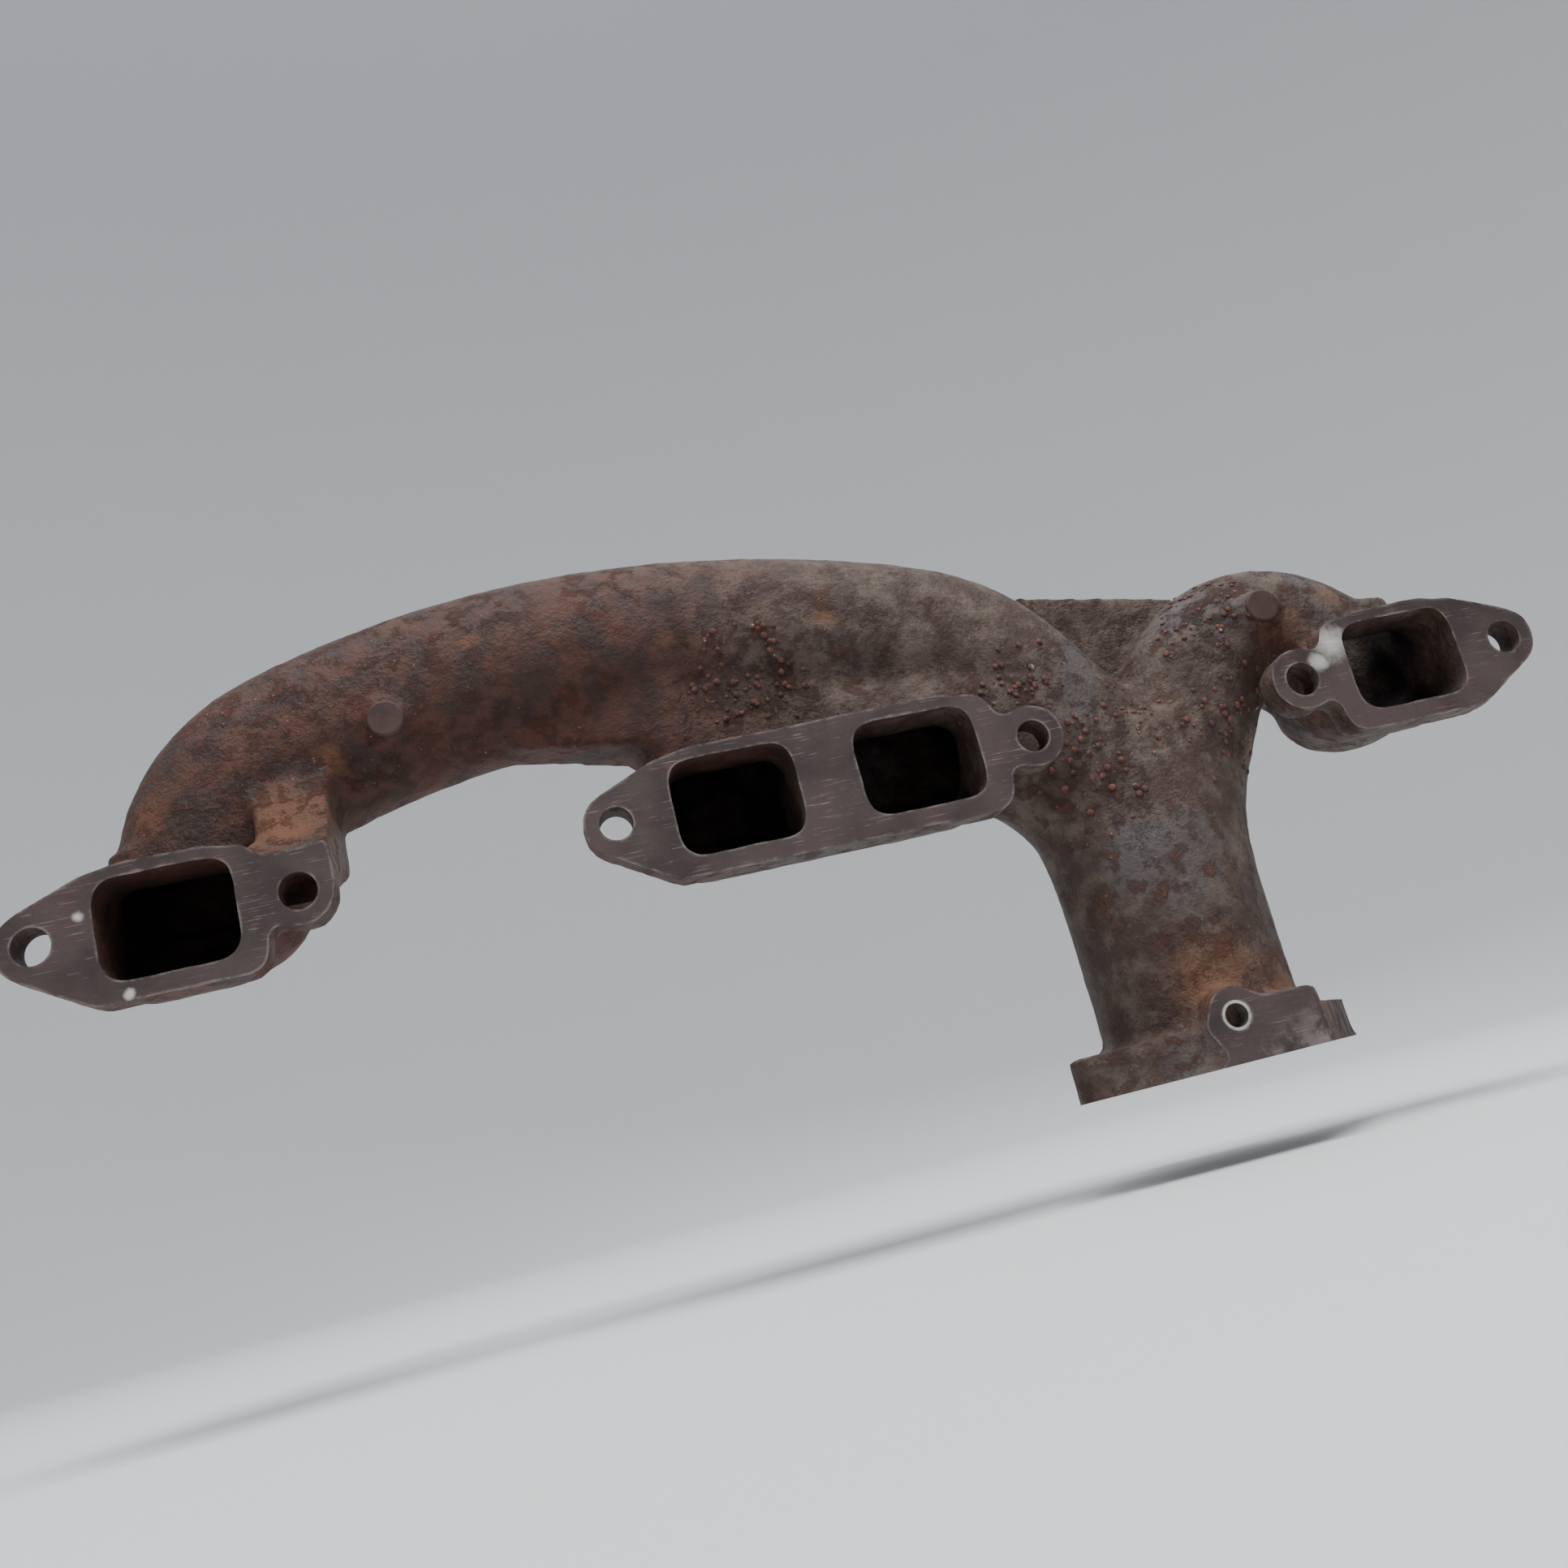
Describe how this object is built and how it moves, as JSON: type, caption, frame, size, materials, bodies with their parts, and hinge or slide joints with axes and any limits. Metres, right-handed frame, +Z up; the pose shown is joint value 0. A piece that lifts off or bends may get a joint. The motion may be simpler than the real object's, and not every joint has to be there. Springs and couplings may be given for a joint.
{
  "type": "exhaust manifold",
  "caption": "Cast-iron exhaust manifold for one bank of a V engine, with port flanges, a round outlet flange and a thermostatic heat-control valve in its neck.",
  "frame": {"origin": "middle of the twin-port flange's face, on its line of bolt holes, halfway between its two bolt holes", "axes": "+X along the line of ports towards the outlet's end of the manifold, +Y away from the cylinder head, +Z up, away from the outlet; the port faces lie in the plane Y = 0"},
  "size_m": [0.5282, 0.1177, 0.23],
  "materials": {
    "casting": "rough sand-cast, rust-stained",
    "plug": "dull, scaled",
    "bush": "worn bright",
    "shaft": "heat-browned",
    "flap": "heat-browned",
    "screw": "dark, lightly rusted",
    "weight": "rough, rust-stained",
    "washer": "dull",
    "bimetal": "straw-brown heat tint",
    "pin": "dull"
  },
  "bodies": {
    "manifold": {"manifold_casting": "casting", "core_plug_front": "plug", "core_plug_rear": "plug", "shaft_bush_engine_side": "bush", "shaft_bush_outer_side": "bush", "thrust_washer": "washer", "thermostatic_spring": "bimetal", "spring_anchor_pin": "pin", "stop_pin": "pin"},
    "heat_valve": {"heat_valve_shaft": "shaft", "heat_valve_flap": "flap", "flap_screws": "screw", "counterweight": "weight", "counterweight_screw": "screw", "spring_retaining_clip": "washer"}
  },
  "joints": [
    {"name": "heat_valve_turn", "type": "hinge", "parent": "manifold", "child": "heat_valve", "pos_m": [0.1125, 0.048, -0.106], "axis": [0, 1, 0], "range_deg": [0, 75], "stiffness_Nm_per_rad": 0.05, "springref_deg": -85.94, "deforming": ["thermostatic_spring"]}
  ]
}
